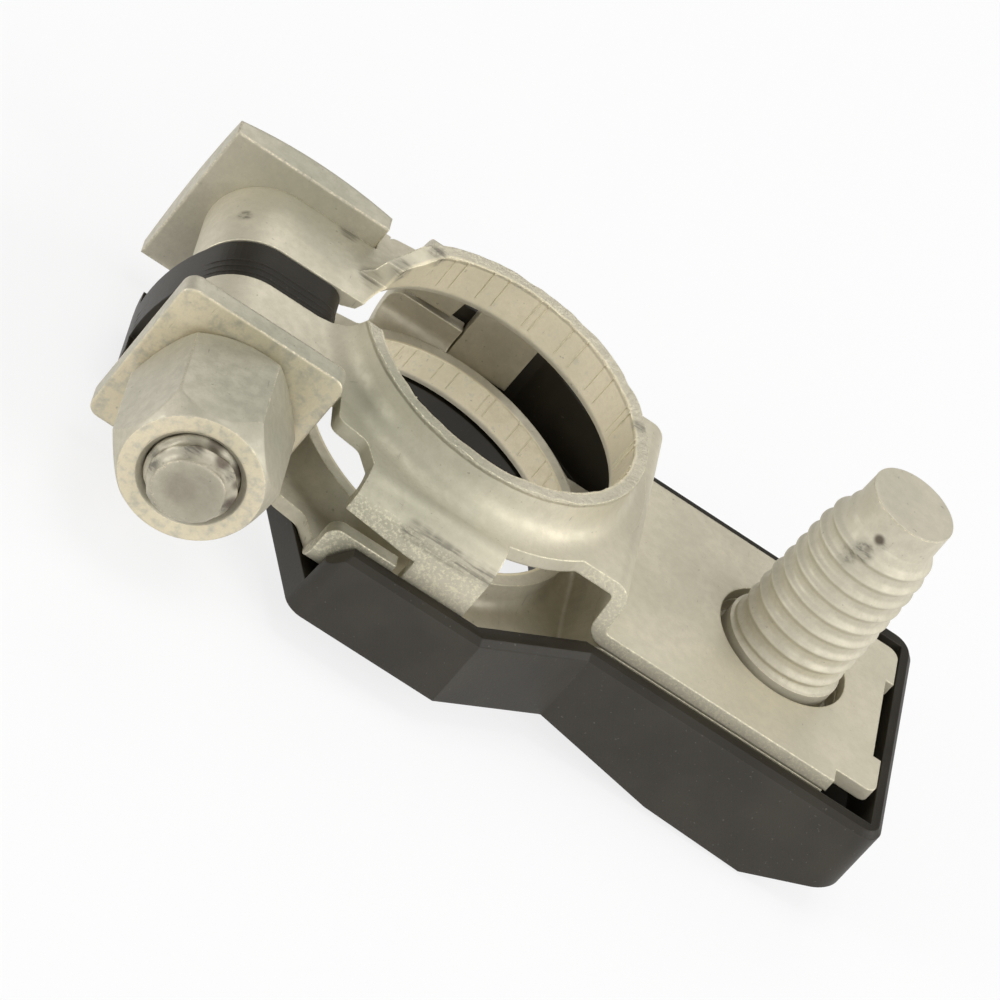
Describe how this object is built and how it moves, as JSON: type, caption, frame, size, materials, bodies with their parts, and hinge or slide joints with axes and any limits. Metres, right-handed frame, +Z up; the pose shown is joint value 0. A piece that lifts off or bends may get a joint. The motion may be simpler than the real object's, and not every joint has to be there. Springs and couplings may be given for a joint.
{
  "type": "battery terminal clamp",
  "caption": "Folded sheet clamp for a battery post, drawn tight by a cross bolt with a hex nut, with an upright threaded stud on a plate held in a moulded tray.",
  "frame": {"origin": "on the axis of the post bore, level with the top face of the stud plate, between the two collars", "axes": "+Z up along the post bore, +X towards the stud, +Y towards the head of the clamp bolt"},
  "size_m": [0.0564, 0.0356, 0.0225],
  "materials": {
    "tinned_sheet": "satin",
    "plated_fastener": "satin",
    "plated_stud": "satin",
    "black_plastic": "matte"
  },
  "bodies": {
    "clamp": {"clamp_body": "tinned_sheet", "clamp_bolt": "plated_fastener", "stud": "plated_stud", "tray": "black_plastic"},
    "washer": {"square_washer": "plated_fastener"},
    "nut": {"hex_nut": "plated_fastener"}
  },
  "joints": [
    {"name": "washer_slide", "type": "slide", "parent": "clamp", "child": "washer", "axis": [0, -1, 0], "range_m": [0, 0.006]},
    {"name": "nut_turn", "type": "hinge", "parent": "washer", "child": "nut", "pos_m": [-0.01545, -0.014, -0.00035], "axis": [0, -1, 0], "range_deg": [0, 2520]}
  ],
  "couplings": [
    {"joint": "nut_turn", "follows": "washer_slide", "rad_per_m": 6283.2}
  ]
}
